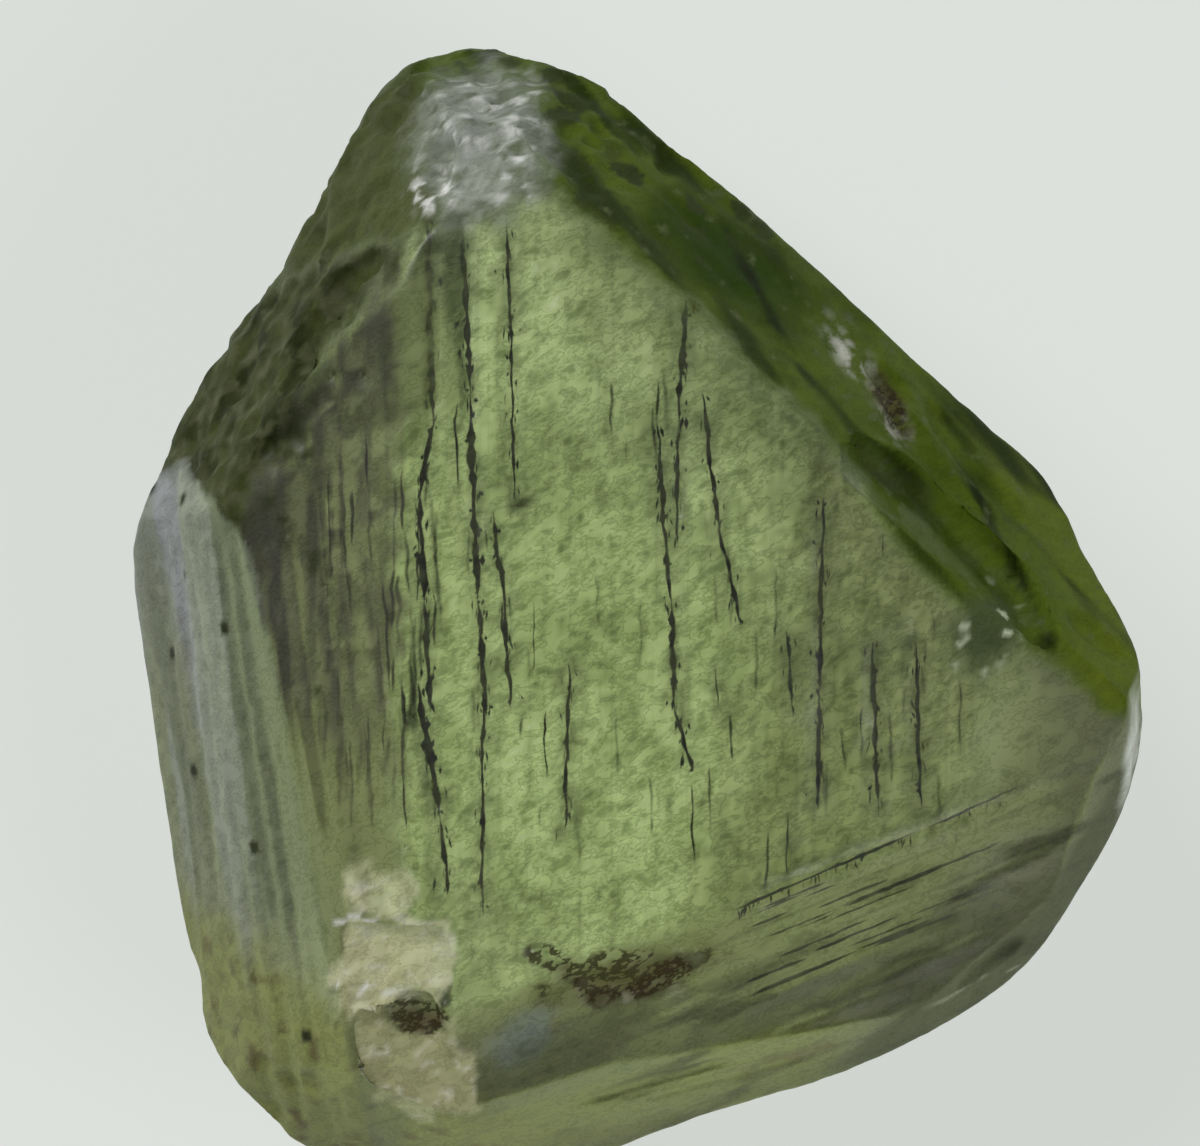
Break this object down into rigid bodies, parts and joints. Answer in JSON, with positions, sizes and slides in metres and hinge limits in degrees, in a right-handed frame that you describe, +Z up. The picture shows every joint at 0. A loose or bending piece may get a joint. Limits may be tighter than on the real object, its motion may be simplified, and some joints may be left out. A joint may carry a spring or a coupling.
{
  "type": "peridot crystal",
  "caption": "Rough see-through olive-green crystal with a rounded frosted tip, a lined left side, dark vertical growth tubes and a pale chip at the lower left, lying on its flat back.",
  "frame": {"origin": "on the surface the crystal lies on, under the middle of its box", "axes": "+Z up out of the broad front face, +Y along the crystal's length towards its rounded tip, +X to its right seen from the front"},
  "size_m": [0.0198, 0.0226, 0.01],
  "materials": {
    "peridot": "clear to cloudy green crystal with a slightly etched, waxy surface"
  },
  "bodies": {
    "root": {"peridot_crystal": "peridot"}
  },
  "joints": []
}
